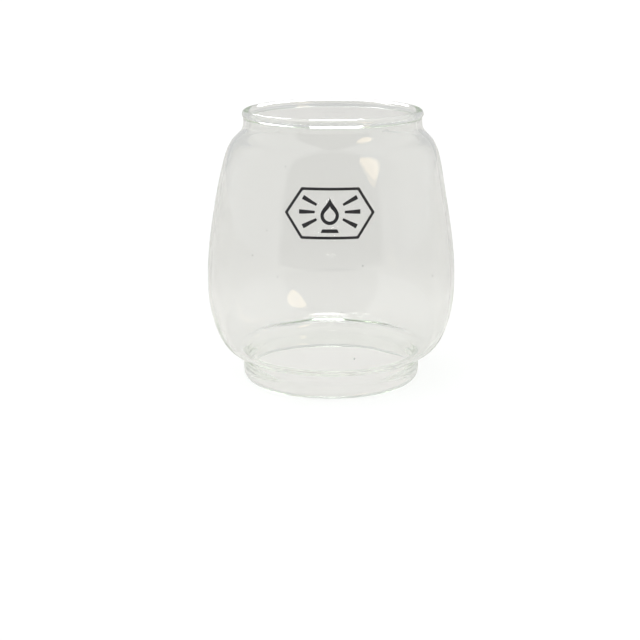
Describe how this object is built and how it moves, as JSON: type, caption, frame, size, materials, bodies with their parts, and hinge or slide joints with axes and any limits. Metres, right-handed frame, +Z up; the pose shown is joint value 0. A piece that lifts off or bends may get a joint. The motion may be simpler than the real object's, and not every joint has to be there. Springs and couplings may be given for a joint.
{
  "type": "lantern globe",
  "caption": "Clear glass globe for a hurricane oil lantern: a round bowl that narrows to an open mouth above and a straight foot collar below, with a small fired black mark on its front.",
  "frame": {"origin": "centre of the flat ring that the globe stands on", "axes": "+Z up along the axis of the globe, -Y towards the printed mark, +X to the mark's right"},
  "size_m": [0.12, 0.12, 0.13],
  "materials": {
    "clear_glass": "clear, fire-polished, faint green in thick places",
    "black_enamel": "fired-on ceramic enamel, satin, printed thin"
  },
  "bodies": {
    "root": {"globe_glass": "clear_glass", "mark_border": "black_enamel", "mark_flame": "black_enamel", "mark_burner": "black_enamel", "mark_ray_left_lower": "black_enamel", "mark_ray_left_middle": "black_enamel", "mark_ray_left_upper": "black_enamel", "mark_ray_right_lower": "black_enamel", "mark_ray_right_middle": "black_enamel", "mark_ray_right_upper": "black_enamel"}
  },
  "joints": []
}
